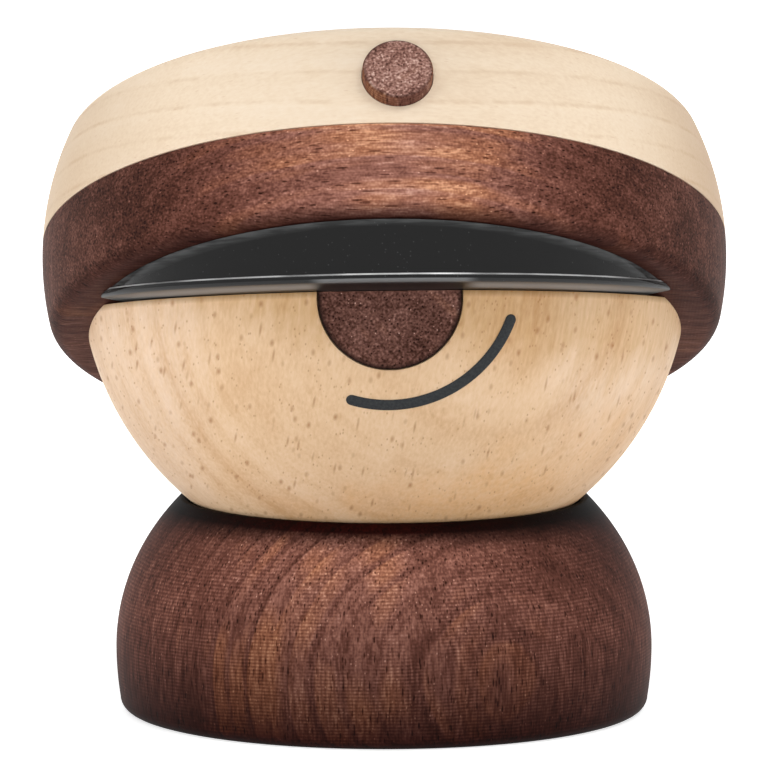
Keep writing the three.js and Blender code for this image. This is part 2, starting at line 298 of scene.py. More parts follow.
# %% The lathe tree
def lathe_tree():
    tree, given = new_tree("lathe", Profile="Geometry", Sides="Int", Wood="Material")
    profile, sides = given["Profile"], given["Sides"]
    points = add(tree, "GeometryNodeAttributeDomainSize", {0: profile}).outputs["Point Count"]
    columns = add(tree, "Math", {0: sides, 1: 1.0}, operation="ADD")
    grid = add(tree, "GeometryNodeMeshGrid", {"Vertices X": columns, "Vertices Y": points})
    index = add(tree, "GeometryNodeInputIndex")
    share = add(tree, "Math", {0: index, 1: points}, operation="DIVIDE")
    column = add(tree, "Math", {0: share}, operation="FLOOR")
    row = add(tree, "Math", {0: index, 1: points}, operation="MODULO")
    place = add(tree, "GeometryNodeSampleIndex", {
        "Geometry": profile, "Value": add(tree, "GeometryNodeInputPosition"), "Index": row},
        data_type="FLOAT_VECTOR")
    part = add(tree, "Math", {0: column, 1: sides}, operation="DIVIDE")
    angle = add(tree, "Math", {0: part, 1: math.tau}, operation="MULTIPLY")
    swung = add(tree, "VectorRotate", {"Vector": place, "Angle": angle}, rotation_type="Z_AXIS")
    moved = add(tree, "GeometryNodeSetPosition", {
        "Geometry": grid.outputs["Mesh"], "Position": swung})
    merged = add(tree, "GeometryNodeMergeByDistance", {"Geometry": moved, "Distance": 1e-6})
    return finished(tree, merged, given["Wood"])


LATHE = lathe_tree()
print("lathe tree with", len(LATHE.nodes), "nodes")


# %% From a tree to a plain mesh
def settled(made):
    """Keeps what an object's modifiers make of it as its own plain mesh."""
    bpy.context.view_layer.update()
    evaluated = made.evaluated_get(bpy.context.evaluated_depsgraph_get())
    made.data = bpy.data.meshes.new_from_object(evaluated)
    made.modifiers.clear()


def grown(name, mesh, tree, values):
    """An object with a Geometry Nodes tree run on its mesh once, and kept as a plain mesh."""
    made = bpy.data.objects.new(name, mesh)
    bpy.context.scene.collection.objects.link(made)
    modifier = made.modifiers.new("tree", "NODES")
    modifier.node_group = tree
    for socket in tree.interface.items_tree:
        if socket.in_out == "INPUT" and socket.name in values:
            modifier[socket.identifier] = values[socket.name]
    settled(made)
    made.data.name = name
    return made


def scaled(place):
    """A frame in millimetres as a transform of a mesh in metres."""
    metres = place.copy()
    metres.translation = place.translation * MM
    return metres


def turned(name, profile, material, sides, place):
    """A profile of (radius, height) in millimetres, from the bottom up, turned in a frame."""
    mesh = bpy.data.meshes.new(name)
    mesh.from_pydata([(r * MM, 0, h * MM) for r, h in profile], [], [])
    made = grown(name, mesh, LATHE, {"Sides": sides, "Wood": material})
    made.data.transform(scaled(place))
    return made


# %% [markdown]
# Profiles are made of arcs, as the turner's gouge makes them. No real edge is
# perfectly sharp: after sanding it has a small round that catches the light, so a
# helper eases a chosen corner of a profile.

# %% Profile helpers
def arc(centre, radius, start, end, steps, rise=None):
    """Points on a circle between two angles in radians, or on an ellipse with another rise."""
    angles = [start + (end - start) * i / steps for i in range(steps + 1)]
    return [(centre[0] + radius * math.cos(a), centre[1] + (rise or radius) * math.sin(a))
            for a in angles]


def angle_of(centre, point):
    return math.atan2(point[1] - centre[1], point[0] - centre[0])


def meeting(a, radius_a, b, radius_b):
    """Where two circles meet, on the side away from the turning axis."""
    apart = Vector(b) - Vector(a)
    along = (apart.length ** 2 + radius_a ** 2 - radius_b ** 2) / (2 * apart.length)
    across = math.sqrt(radius_a ** 2 - along ** 2)
    unit = apart.normalized()
    foot = Vector(a) + unit * along
    normal = Vector((-unit.y, unit.x))
    return tuple(max((foot + normal * across, foot - normal * across), key=lambda p: p.x))


def walked(points, distance):
    """The point at a distance along a polyline, and the points left beyond it."""
    for i, (a, b) in enumerate(zip(points, points[1:])):
        length = math.dist(a, b)
        if distance <= length:
            t = distance / length
            return (a[0] + (b[0] - a[0]) * t, a[1] + (b[1] - a[1]) * t), points[i + 1:]
        distance -= length
    return points[-1], []


def eased(profile, corner, reach, steps=4):
    """Rounds the corner of a profile nearest to a point, with a support point on each side."""
    at = min(range(len(profile)), key=lambda i: math.dist(profile[i], corner))
    sides = []
    for points in (profile[at::-1], profile[at:]):
        near, _ = walked(points, reach)
        support, rest = walked(points, 1.5 * reach)
        sides.append((near, support, rest))
    (a, support_a, before), (b, support_b, after) = sides
    c = profile[at]
    curve = []
    for i in range(steps + 1):
        t = i / steps
        w = ((1 - t) ** 2, 2 * t * (1 - t), t ** 2)
        curve.append(tuple(w[0] * a[k] + w[1] * c[k] + w[2] * b[k] for k in (0, 1)))
    return before[::-1] + [support_a] + curve + [support_b] + after


corner = eased([(0, 0), (5, 0), (5, 5)], (5, 0), 1)
print("an eased square corner:", [tuple(round(v, 2) for v in p) for p in corner])


# %% Cutting and boring
CUT_MERGE = 0.02


def cut_above(made, plane, offset=0.0):
    """Takes away what lies above the XY plane of a frame, and closes the cut."""
    normal = (plane.to_3x3() @ Vector((0, 0, 1))).normalized()
    point = (plane @ Vector((0, 0, offset))) * MM
    mesh = bmesh.new()
    mesh.from_mesh(made.data)
    result = bmesh.ops.bisect_plane(mesh, geom=mesh.verts[:] + mesh.edges[:] + mesh.faces[:],
                                    dist=1e-8, plane_co=point, plane_no=normal, clear_outer=True)
    rim = [e for e in result["geom_cut"] if isinstance(e, bmesh.types.BMEdge)]
    near = list({v for e in rim for v in e.verts})
    bmesh.ops.remove_doubles(mesh, verts=near, dist=CUT_MERGE * MM)
    bmesh.ops.holes_fill(mesh, edges=[e for e in mesh.edges if e.is_boundary], sides=0)
    mesh.to_mesh(made.data)
    mesh.free()


def bored(made, radius, low, high, place):
    """Bores a round hole along Z of a frame."""
    drill = turned("drill", [(0, low), (radius, low), (radius, high), (0, high)], None, 96, place)
    boolean = made.modifiers.new("bore", "BOOLEAN")
    boolean.operation, boolean.solver, boolean.object = "DIFFERENCE", "EXACT", drill
    settled(made)
    bpy.data.objects.remove(drill)


# %% Finishing a piece
SHARP_ANGLE = math.radians(32)


def fitted(made, node, body):
    """Gives a finished piece crisp edges, its place in the model and its CAD node's role."""
    made.data.shade_smooth()
    made.data.set_sharp_from_angle(angle=SHARP_ANGLE)
    low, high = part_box(node)
    points = [v.co for v in made.data.vertices]
    off = max(max(abs(min(p[k] for p in points) - low[k]), abs(max(p[k] for p in points) - high[k]))
              for k in range(3))
    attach(made, body)
    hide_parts(node)
    print(f"{made.name}: {len(made.data.polygons)} faces, {off / MM:.2f} mm off its CAD node's box")


# %% [markdown]
# ## Woods
#
# A wooden part is cut out of a trunk, so its figure is a slice through a solid
# pattern: rings round a pith, with pores and rays along the grain. Each wood here
# is such a solid pattern, in millimetres, read from Object coordinates. A Mapping
# node lays the trunk across the piece: its Z runs along the grain and its origin
# is on the pith. The same wood then shows stripes on one face and end grain on
# another, as it does on the real figure.

# %% Laying a wood
def laid(tree, place):
    """Object coordinates in millimetres, in the frame of the trunk that a piece was cut from."""
    return add(tree, "Mapping", {
        "Vector": add(tree, "TexCoord").outputs["Object"], "Location": place.translation * MM,
        "Rotation": place.to_euler("XYZ"), "Scale": (MM, MM, MM)}, vector_type="TEXTURE")


# %% Measuring from a frame
def height_over(tree, place):
    """Height over a frame's floor, in millimetres."""
    return add(tree, "SeparateXYZ", {0: laid(tree, place)}).outputs["Z"]


def off_middle(tree, place):
    """Distance to either side of a frame's middle, in millimetres."""
    across = add(tree, "SeparateXYZ", {0: laid(tree, place)}).outputs["X"]
    return add(tree, "Math", {0: across}, operation="ABSOLUTE")


def off_axis(tree, point):
    """Distance from the Z axis, in millimetres."""
    flat = add(tree, "VectorMath", {0: point, 1: (1, 1, 0)}, operation="MULTIPLY")
    return add(tree, "VectorMath", {0: flat}, operation="LENGTH").outputs["Value"]


# %% Adding patterns up
def stacked(tree, start, layers):
    """A tone: the start, and for each (pattern, middle, amount, masks) the amount times the
    pattern less its middle, times every mask."""
    tone = start
    for pattern, middle, amount, *masks in layers:
        part = add(tree, "Math", {0: pattern, 1: middle}, operation="SUBTRACT")
        for mask in masks:
            part = add(tree, "Math", {0: part, 1: mask}, operation="MULTIPLY")
        tone = add(tree, "Math", {0: part, 1: amount, 2: tone}, operation="MULTIPLY_ADD")
    return tone


def coated(tree, colour, coats):
    """A colour with others laid over it in turn, each a (cover, colour, blend)."""
    for cover, over, blend in coats:
        colour = add(tree, "Mix", {FACTOR: cover, COLOUR_A: colour, COLOUR_B: over},
                     data_type="RGBA", blend_type=blend).outputs[MIXED]
    return colour


def surfaced(tree, colour, roughness, specular, relief, strength, depth):
    """The finish: a colour and a gloss, with relief so many millimetres deep."""
    bump = add(tree, "Bump", {"Height": relief, "Strength": strength, "Distance": depth * MM})
    finish = add(tree, "BsdfPrincipled", {
        "Base Color": colour, "Roughness": roughness, "Specular IOR Level": specular,
        "Normal": bump})
    add(tree, "OutputMaterial", {"Surface": finish})


# %% [markdown]
# A growth ring is a shell round the pith, so its pattern depends only on the distance
# from there, and soft noise bends that distance a little. Early in the year the wood
# is pale, and a thin dark line of late wood ends the year. A year comes on slowly and
# stops short, which is why the line is soft on one side and sharp on the other.

# %% Growth rings
def cloud(tree, point, sizes, detail=2.0):
    """Soft noise whose blobs are about so many millimetres long across X, Y and Z."""
    stretched = add(tree, "VectorMath", {0: point, 1: [1 / v for v in sizes]}, operation="MULTIPLY")
    return add(tree, "TexNoise", {
        "Vector": stretched, "Scale": 1.0, "Detail": detail, "Roughness": 0.55})


def from_pith(tree, point, waviness):
    """Distance from the trunk's pith in millimetres, out of true by about so many."""
    wave = cloud(tree, point, (22, 22, 60), 1.0)
    return stacked(tree, off_axis(tree, point), [(wave, 0.5, 4 * waviness)])


def rings(tree, radius, spacing, detail):
    """Uneven stripes that follow the growth rings."""
    return add(tree, "TexNoise", {
        "W": radius, "Scale": 1 / spacing, "Detail": detail, "Roughness": 0.6},
        noise_dimensions="1D")


def late_wood(tree, radius, spacing, begins=0.5):
    """The dark line that ends each year, stronger in some. It begins at a share of the year."""
    years = add(tree, "Math", {0: radius, 1: spacing}, operation="DIVIDE")
    season = add(tree, "Math", {0: years}, operation="FRACT")
    onset = add(tree, "MapRange", {"Value": season}, span=(begins, 0.88), **SOFT)
    stop = add(tree, "MapRange", {"Value": season}, span=(0.92, 1.0, 1.0, 0.0))
    vigour = add(tree, "MapRange", {"Value": rings(tree, radius, 1.6 * spacing, 1.0)},
                 span=(0.38, 0.6, 0.25, 1.0))
    return stacked(tree, 0.0, [(onset, 0.0, 1.0, stop, vigour)])


# %% [markdown]
# Pores and rays are single grains. A Voronoi texture makes one cell for each, the
# distance from the cell's middle gives it an edge, and the cell's own random colour
# says whether it is there at all.

# %% Grains and end grain
def specks(tree, point, lengths, share, size=0.28, core=0.55):
    """Grains of given half lengths in millimetres across X, Y and Z, in a share of the cells."""
    stretched = add(tree, "VectorMath", {0: point, 1: [size / v for v in lengths]},
                    operation="MULTIPLY")
    cell = add(tree, "TexVoronoi", {"Vector": stretched, "Scale": 1.0})
    near = add(tree, "MapRange", {"Value": cell.outputs["Distance"]},
               span=(size, core * size, 0.0, 1.0))
    picked = add(tree, "Math", {0: cell.outputs["Color"], 1: share}, operation="LESS_THAN")
    return add(tree, "Math", {0: near, 1: picked}, operation="MULTIPLY")


def end_on(tree, place, first, last, values=(0.0, 1.0)):
    """From one value to the other as a surface turns from lying along the grain to cutting it."""
    normal = add(tree, "TexCoord").outputs["Normal"]
    grain_way = place.to_3x3() @ Vector((0, 0, 1))
    along = add(tree, "VectorMath", {0: normal, 1: grain_way}, operation="DOT_PRODUCT")
    facing = add(tree, "Math", {0: along.outputs["Value"]}, operation="ABSOLUTE")
    return add(tree, "MapRange", {"Value": facing}, span=(first, last, *values), **SOFT)


# %% [markdown]
# Heartwood changes the colour of a whole region. Painted shade and painted light do the
# same here, standing in for shadow, bounce light and sheen. Each starts at a plane and
# comes on over a few millimetres. In heartwood the plane wanders and the colour breaks
# up into streaks along the grain.

# %% Stain and painted shade
def stained_and_shaded(tree, point, colour, stains_and_shades):
    """A colour with heartwood, painted shade and painted light, each a (frame, depth,
    waviness, factors): it comes on over so many millimetres above the frame's floor, and
    multiplies the colour."""
    wander = cloud(tree, point, (5, 5, 9))
    streaks = add(tree, "MapRange", {"Value": cloud(tree, point, (0.6, 0.6, 5))},
                  span=(0.35, 0.6, 0.6, 1.0))
    coats = []
    for place, depth, waviness, factors in stains_and_shades:
        up, full = height_over(tree, place), 1.0
        if waviness:
            up, full = stacked(tree, up, [(wander, 0.5, waviness)]), streaks
        cover = add(tree, "MapRange", {"Value": up}, span=(0.0, depth, 0.0, full))
        coats.append((cover, factors, "MULTIPLY"))
    return coated(tree, colour, coats)


# %% [markdown]
# The dark wood is a mahogany-like hardwood such as sapele, sanded and oiled: red
# brown with purplish and golden patches, open pores, and fine ripple rows half a
# millimetre apart, like woven cloth. Small crystals in the pores glint, and a few
# golden years are lighter than the rest. Where the grain ends in the surface it
# drinks more oil and is darker. All these only shift one tone, and a ramp turns it
# into the wood's colours. Real pores are 0.1 to 0.2 mm wide and are drawn 0.3 mm wide
# here, because finer ones wouldn't show.

# %% Colours and sizes in the hardwood
SAPELE = [(0.0, "#22120d"), (0.25, "#4a2c21"), (0.5, "#70493b"), (0.75, "#9d705d"),
          (1.0, "#d2a991")]
# Tints and painted shade are factors on red, green and blue. The first factor after the
# # tints darkens where shade is painted; the second greys end grain.
PURPLE, ORANGE = (1.0, 0.92, 1.0, 1), (1.09, 0.91, 0.74, 1)
PAINTED_SHADE, GREYED = (0.05, 0.01, 0.01, 1), (1.0, 1.2, 1.3, 1)
BAND_SPACING, YEAR_SPACING = 2.4, 2.15
# Millimetres: twice across the grain and once along it
FIBRE, GRANULE, COLUMN = (0.35, 0.35, 2.6), (0.34, 0.34, 0.34), (0.34, 0.34, 2.0)
STREAK, PATCH, GLINT = (1.4, 1.4, 12.0), (8, 8, 13), (0.13, 0.13, 0.2)
PORE_RADIUS, PORE_SHARE, GLINT_SHARE, PORE_AMOUNT = 0.15, 0.6, 0.22, 0.34
print("bands", BAND_SPACING, "mm apart, years", YEAR_SPACING, "mm wide")


# %% Golden years and ripple rows
def golden_years(tree, radius, place, golden):
    """Lighter years where the surface is upright, each a (radius, half width) in millimetres."""
    sappy = 0.0 if golden else 0.5
    for middle, half_width in golden:
        off = add(tree, "Math", {0: radius, 1: middle}, operation="SUBTRACT")
        size = add(tree, "Math", {0: off}, operation="ABSOLUTE")
        upright = end_on(tree, place, 0.15, 0.5, (1.0, 0.0))
        year = add(tree, "MapRange", {"Value": size},
                   span=(0.5 * half_width, 1.5 * half_width, upright, 0.0), **SOFT)
        sappy = add(tree, "Math", {0: sappy, 1: year}, operation="MAXIMUM")
    return sappy


def ripple_rows(tree, point):
    """Rows across the grain, half a millimetre apart, and the same rows broken up like cloth."""
    rows = add(tree, "TexWave", {
        "Vector": point, "Scale": 0.65, "Distortion": 3.0, "Detail": 2.0, "Detail Scale": 0.2},
        wave_type="BANDS", bands_direction="Z")
    columns = cloud(tree, point, COLUMN, 0.0)
    return rows, add(tree, "Math", {0: rows, 1: columns}, operation="MULTIPLY")


# %% Reddish-brown hardwood
def hardwood(name, place, start, end_grain, band_amount, ripple_amount=0.3, vein_amount=0.0,
             grain_amount=0.75, pore_length=0.7, glint_amount=0.26, golden=(), painted_lit_front=None,
             stains_and_shades=(), rim=None):
    """End grain is (first, last, how much darker). The painted lit front is (frame, half
    width, how much darker beside it): beside it the wood is painted darker, less orange
    and calmer, as shade. A dowel's rim is painted shade: (frame, radius, share of the
    colour left)."""
    made, tree = emptied(bpy.data.materials.new(name))
    point = laid(tree, place)
    radius = from_pith(tree, point, 1.0)
    bands = rings(tree, radius, BAND_SPACING, 1.5)
    veins = late_wood(tree, radius, YEAR_SPACING)
    fibre = cloud(tree, point, FIBRE, 1.0)
    patches = cloud(tree, point, PATCH, 1.0)
    pores = specks(tree, point, (PORE_RADIUS, PORE_RADIUS, pore_length), PORE_SHARE)
    rows, weave = ripple_rows(tree, point)
    sappy = golden_years(tree, radius, place, golden)

    first, last, darker = end_grain
    ends = end_on(tree, place, first, last)
    cut_off = end_on(tree, place, 0.5, 1.0)
    on_sides = end_on(tree, place, 0.4, 0.75, (1.0, 0.0))
    rippled = add(tree, "MapRange", {"Value": patches}, span=(0.38, 0.55, 0.3, 1.0))
    # Painted shade: beside the lit front the wood is darker, less orange and calmer in grain.
    painted_shade_aside, shade = 0.0, 0.0
    if painted_lit_front:
        middle, half_width, shade = painted_lit_front
        painted_shade_aside = add(tree, "MapRange", {"Value": off_middle(tree, middle)},
                    span=(0.2 * half_width, 1.3 * half_width), **SOFT)
    grainy = add(tree, "MapRange", {"Value": ends}, span=(0.0, 1.0, 0.35, 1.0))
    calm = add(tree, "MapRange", {"Value": painted_shade_aside}, span=(0.0, 1.0, 1.0, 0.45))

    tone = stacked(tree, start, [
        (bands, 0.5, band_amount), (patches, 0.5, 0.3), (cloud(tree, point, STREAK), 0.5, 0.3),
        (fibre, 0.5, 0.6), (cloud(tree, point, GRANULE, 0.0), 0.5, grain_amount, grainy, calm),
        (weave, 0.25, ripple_amount, rippled, on_sides), (veins, 0.0, -vein_amount, calm),
        (pores, 0.0, -PORE_AMOUNT), (specks(tree, point, GLINT, GLINT_SHARE), 0.0, glint_amount),
        (ends, 0.0, -darker), (sappy, 0.5, 0.08), (painted_shade_aside, 0.0, -shade)])
    zone = stacked(tree, 0.7, [
        (bands, 0.5, 1.2), (patches, 0.5, 3.0), (veins, 0.0, -0.8), (cut_off, 0.0, -1.2),
        (painted_shade_aside, 0.0, -0.8), (sappy, 0.5, 0.9)])
    tint = coated(tree, PURPLE, [(add(tree, "Clamp", {0: zone}), ORANGE, "MIX")])
    colour = coated(tree, add(tree, "ValToRGB", {0: tone}, stops=SAPELE), [
        (1.0, tint, "MULTIPLY"), (cut_off, GREYED, "MULTIPLY")])
    colour = stained_and_shaded(tree, point, colour, stains_and_shades)
    # Painted shade: a dowel darkens towards its rim, as in the gap round it.
    if rim:
        dowel, radius, left = rim
        edge = add(tree, "MapRange", {"Value": off_axis(tree, laid(tree, dowel))},
                   span=(0.93 * radius, radius, 1.0, left))
        colour = coated(tree, colour, [(1.0, edge, "MULTIPLY")])
    relief = stacked(tree, 0.0, [(fibre, 0.5, 0.6), (pores, 0.0, -1.0), (rows, 0.5, 0.3)])
    surfaced(tree, colour, 0.6, 0.05, relief, 0.4, 0.06)
    return made


# %% [markdown]
# The body is cut upright from the trunk, with the pith far behind it. Where the rings
# lie flat in the surface, in front on one side, they close to an eye, and the others
# nest in arcs round it. Its foot, its neck under the ball and its shoulders beside the
# head are darkened with painted shade. The band is cut lying, with its grain across the
# face, and painted shade darkens its lower edge against the visor. Nose and button are
# dowels of the same wood, with the end grain on their faces and painted shade round
# their rims.

# %% Hardwood, laid four ways
def outward(turn, distance):
    """A frame so many millimetres out from the middle, turned about Y by so many degrees."""
    return swing(turn, "Y") @ shift(0, 0, distance)


EYE_TURN, EYE_RISE, PITH = 33, 0.7, 120.4
FOOT_SHADE, NECK_SHADE, BAND_SHADE = 26, 2.4, 2.2
ALONG_X, OVER = swing(90, "Y"), swing(180, "X")

BODY_LAY = (swing(EYE_TURN, "Z") @ shift(0, -BODY_RADIUS, BODY_WIDEST + EYE_RISE)
            @ swing(-1.5, "X") @ shift(0, PITH, 0))
BODY_WOOD = hardwood(
    "oiled_sapele_upright", BODY_LAY, 0.7, (0.4, 1.0, 0.15), 0.2, ripple_amount=0.34,
    vein_amount=0.22, glint_amount=0.32, golden=[(PITH - 16, 5), (PITH, 1)],
    # The front is painted lighter than the sides, and the list below paints shade at the foot,
    # under the neck and on both shoulders.
    painted_lit_front=(shift(-4, 0, 0), 20, 0.2),
    stains_and_shades=[(shift(0, 0, FOOT_SHADE) @ OVER, FOOT_SHADE, 0, PAINTED_SHADE),
            (shift(0, 0, 29.5 - NECK_SHADE), NECK_SHADE, 0, PAINTED_SHADE),
            (outward(30, 28.5), 12.5, 0, PAINTED_SHADE), (outward(-30, 31.5), 11.5, 0, PAINTED_SHADE)])

BAND_FOOT = CAP @ shift(0, -CAP_RADIUS, 0) @ swing(-0.63, "X")
BAND_WOOD = hardwood(
    "oiled_sapele_lying", CAP @ shift(0, -60, -26) @ ALONG_X, 0.77, (0, 0.8, 0.5), 0.25,
    # The band's sides are painted a little darker than its front, and painted shade darkens its
    # lower edge against the visor.
    ripple_amount=0.0, pore_length=1.3, painted_lit_front=(CAP, 24, 0.035),
    stains_and_shades=[(BAND_FOOT @ shift(0, 0, BAND_SHADE) @ OVER, BAND_SHADE, 0, PAINTED_SHADE)])

# The nose's and the button's rims carry painted shade.
NOSE_WOOD = hardwood(
    "sapele_end_grain_nose", NOSE @ shift(30, 22, 0), 0.45, (0, 1, 0.05), 0.15,
    grain_amount=0.55, glint_amount=0.5, rim=(NOSE, NOSE_RADIUS - 0.1, 0.1))
BUTTON_WOOD = hardwood(
    "sapele_end_grain_button", BUTTON @ shift(24, -30, 0), 0.7, (0, 1, 0.05), 0.15,
    glint_amount=0.32, rim=(BUTTON, BUTTON_RADIUS - 0.25, 0.5))
print("hardwood laid four ways, the eye", EYE_TURN, "degrees round")

# %% [markdown]
# Maple and beech are pale, close-grained woods. Maple shows little more than faint
# growth lines and a few tiny flecks. Beech is known by its rays: short brown dashes
# a millimetre or two long, which look like dots where the surface meets them end on.

# %% Pale woods
def pale_wood(name, place, palette, ring_spacing, ring_amount, ring_wave, mottle_size, lines,
              flecks, fleck_colour, begins=0.5, ends=(1, 1, 1, 1), stains_and_shades=()):
    """Flecks are (half lengths in millimetres, share of cells, strength) of one kind each."""
    made, tree = emptied(bpy.data.materials.new(name))
    point = laid(tree, place)
    radius = from_pith(tree, point, ring_wave)
    fibre = cloud(tree, point, (0.5, 0.5, 5.0))
    late = late_wood(tree, radius, 0.8 * ring_spacing, begins)
    broken = add(tree, "MapRange", {"Value": cloud(tree, point, (3, 3, 5))},
                 span=(0.4, 0.6, 0.2, 1.0))
    tone = stacked(tree, 0.5, [
        (rings(tree, radius, ring_spacing, 4.0), 0.5, ring_amount), (fibre, 0.5, 0.35),
        (cloud(tree, point, (0.4, 0.4, 1.2)), 0.5, 0.5),
        (cloud(tree, point, mottle_size), 0.5, 0.6), (late, 0.0, -lines, broken)])
    colour = add(tree, "ValToRGB", {0: tone}, stops=palette)
    colour = stained_and_shaded(tree, point, colour, stains_and_shades)
    for lengths, share, strength in flecks:
        cover = stacked(tree, 0.0, [(specks(tree, point, lengths, share, core=0.1), 0.0, strength)])
        colour = coated(tree, colour, [(cover, linear(fleck_colour), "MIX")])
    colour = coated(tree, colour, [(end_on(tree, place, 0.55, 1.0), ends, "MULTIPLY")])
    surfaced(tree, colour, 0.5, 0.1, fibre, 0.2, 0.04)
    return made


MAPLE = pale_wood(
    "sanded_maple", CAP @ shift(0, -5, -105) @ ALONG_X,
    [(0.1, "#d8bfa3"), (0.5, "#e5d1b8"), (0.9, "#ecdcc8")], ring_spacing=5.2, ring_amount=0.4,
    ring_wave=0.4, mottle_size=(14, 14, 22), lines=0.36, begins=0.78,
    flecks=[((0.1, 0.4, 0.5), 0.2, 0.35)], fleck_colour="#b98a5e", ends=(0.8, 0.75, 0.7, 1),
    # The crown greys and darkens towards one side edge.
    stains_and_shades=[(CAP @ outward(90, 38), 8, 0, (0.85, 0.8, 0.76, 1))])

# %% [markdown]
# Under the visor the ball is darker and more honey-coloured, more of it on one side:
# # painted shadow of the visor, with streaks of heartwood. At its foot it is warmer,
# # painted bounce light from the brown body. Its two sides are lighter and a little
# # cooler, painted light, and the corner under the shelf is dark with painted shade.

# %% Beech for the ball
BEECH = pale_wood(
    "sanded_beech", HEAD @ shift(-35, 90, 0) @ swing(9.74, "Y"),
    [(0.1, "#cda47b"), (0.5, "#e1bf9a"), (0.9, "#edcfb1")], ring_spacing=4.5, ring_amount=0.6,
    ring_wave=1.2, mottle_size=(9, 9, 18), lines=0.16,
    flecks=[((0.4, 1.1, 0.7), 0.5, 0.62), ((0.24, 1.1, 1.4), 0.28, 0.55),
            ((0.15, 0.8, 0.25), 0.35, 0.6)], fleck_colour="#965c2b",
    # Painted shadow under the visor with heartwood streaks, painted warm bounce at the foot,
    # painted light on both sides and painted shade under the shelf.
    stains_and_shades=[(HEAD @ outward(8.594, -9), 7, 14, (0.82, 0.74, 0.6, 1)),
            (HEAD @ outward(162.811, 24), 7, 14, (0.98, 0.88, 0.74, 1)),
            (HEAD @ outward(90, 19), 7, 6, (1.01, 1.07, 1.2, 1)),
            (HEAD @ outward(-90, 23), 7, 6, (0.98, 1.02, 1.13, 1)),
            (SHELF @ shift(0, 0, -0.9), 0.9, 0, (0.5, 0.46, 0.38, 1))])
print("pale woods made:", MAPLE.name, "and", BEECH.name)

# %% [markdown]
# The visor is wood too, but sprayed with black lacquer: deep black, smooth enough
# # for soft reflections, with a little dust in the film. Its bevel carries a painted
# # reflection: a soft grey that is lightest half way in, dark over the nose, which it
# # mirrors, and dark at its inner end, a painted shadow against the head. A painted
# # sheen lies up against the band, and the crest of the bead carries a painted
# # highlight, a thin bright line.

# %% Painted reflection, sheen and highlight on the lacquer
# Greys of the painted reflection on the bevel, with its painted shadow at the inner end; the second
# list is the dark nose mirrored over it.
BEVEL_REFLECTION = [(0.0, "#262626"), (0.07, "#303030"), (0.14, "#565656"), (0.3, "#747474"),
          (0.5, "#868686"), (0.75, "#7c7c7c"), (0.86, "#565656"), (0.93, "#161616")]
NOSE_REFLECTION = [(0.0, "#6c6c6c"), (0.08, "#646464"), (0.18, "#2c2c2c"), (0.35, "#0e0e0e"),
          (0.7, "#121212"), (0.9, "#1c1c1c")]
CREST_HEIGHT = BEAD_DROP + 0.7


def painted_bevel_reflection(tree, point):
    """Painted reflection on the bevel: greys from the visor's edge inwards, darker ones over
    the nose, which it mirrors, and a painted shadow at the inner end against the head.
    """
    inward = add(tree, "MapRange", {"Value": off_axis(tree, point)},
                 span=(VISOR_RADIUS, VISOR_RADIUS - VISOR_TAPER))
    beside, mirrored_nose = (add(tree, "ValToRGB", {0: inward}, stops=greys) for greys in (BEVEL_REFLECTION, NOSE_REFLECTION))
    over_nose = add(tree, "MapRange", {"Value": off_middle(tree, SHELF)},
                    span=(NOSE_RADIUS - 0.5, NOSE_RADIUS + 2, 1.0, 0.0), **SOFT)
    return coated(tree, beside, [(over_nose, mirrored_nose, "MIX")])


def painted_sheen_strip(tree, point):
    """Painted sheen up against the band, in a strip that is wider at the sides."""
    width = add(tree, "MapRange", {"Value": off_middle(tree, CAP)}, span=(8, 34, -1.0, -1.7))
    depth = add(tree, "Math", {0: height_over(tree, CAP), 1: width}, operation="DIVIDE")
    near = add(tree, "MapRange", {"Value": depth}, span=(0.2, 1.0, 1.0, 0.0))
    dull = add(tree, "MapRange", {"Value": cloud(tree, point, (5, 5, 0.5))},
               span=(0.4, 0.65, 0.3, 1.0))
    return add(tree, "Math", {0: near, 1: dull}, operation="MULTIPLY")


def painted_crest_highlight(tree, point):
    """A painted highlight: a thin line along the bead's crest, brightest in the middle and
    broken up unevenly.
    """
    off = add(tree, "Math", {0: height_over(tree, SHELF), 1: CREST_HEIGHT}, operation="SUBTRACT")
    size = add(tree, "Math", {0: off}, operation="ABSOLUTE")
    crest = add(tree, "MapRange", {"Value": size}, span=(0.15, 0.05, 0.0, 1.0))
    broken_up = add(tree, "MapRange", {"Value": cloud(tree, point, (9, 9, 9))},
               span=(0.4, 0.55, 0.35, 1.0))
    middle = add(tree, "MapRange", {"Value": off_middle(tree, SHELF)}, span=(8, 14, 1.0, 0.5))
    return stacked(tree, 0.0, [(crest, 0.0, 1.0, broken_up, middle)])


# %% Black lacquer
def black_lacquer(name):
    made, tree = emptied(bpy.data.materials.new(name))
    point = laid(tree, SHELF)
    below_bead = add(tree, "MapRange", {"Value": height_over(tree, SHELF)},
                     span=(BEAD_DROP + 0.15, BEAD_DROP + 0.05, 0.0, 1.0))
    haze = cloud(tree, point, (4, 4, 4), 4.0)
    clean = add(tree, "MapRange", {"Value": haze}, span=(0.3, 0.7, 0.1, 0.18))
    gloss = add(tree, "MapRange", {"Value": below_bead}, span=(0.0, 1.0, clean, 0.42))
    dust = stacked(tree, 0.0, [(specks(tree, point, (0.12, 0.12, 0.12), 0.2), 0.0, 0.2)])
    # Over the black go the painted bevel reflection, a painted sheen by the band, the painted crest
    # highlight and real dust.
    colour = coated(tree, linear("#161616"), [
        (below_bead, painted_bevel_reflection(tree, point), "MIX"),
        (painted_sheen_strip(tree, point), linear("#4c4d4d"), "MIX"),
        (painted_crest_highlight(tree, point), linear("#e6e6e6"), "MIX"), (dust, linear("#6c6c6c"), "MIX")])
    surfaced(tree, colour, gloss, 0.2, cloud(tree, point, (0.8, 0.8, 0.8)), 0.1, 0.03)
    return made


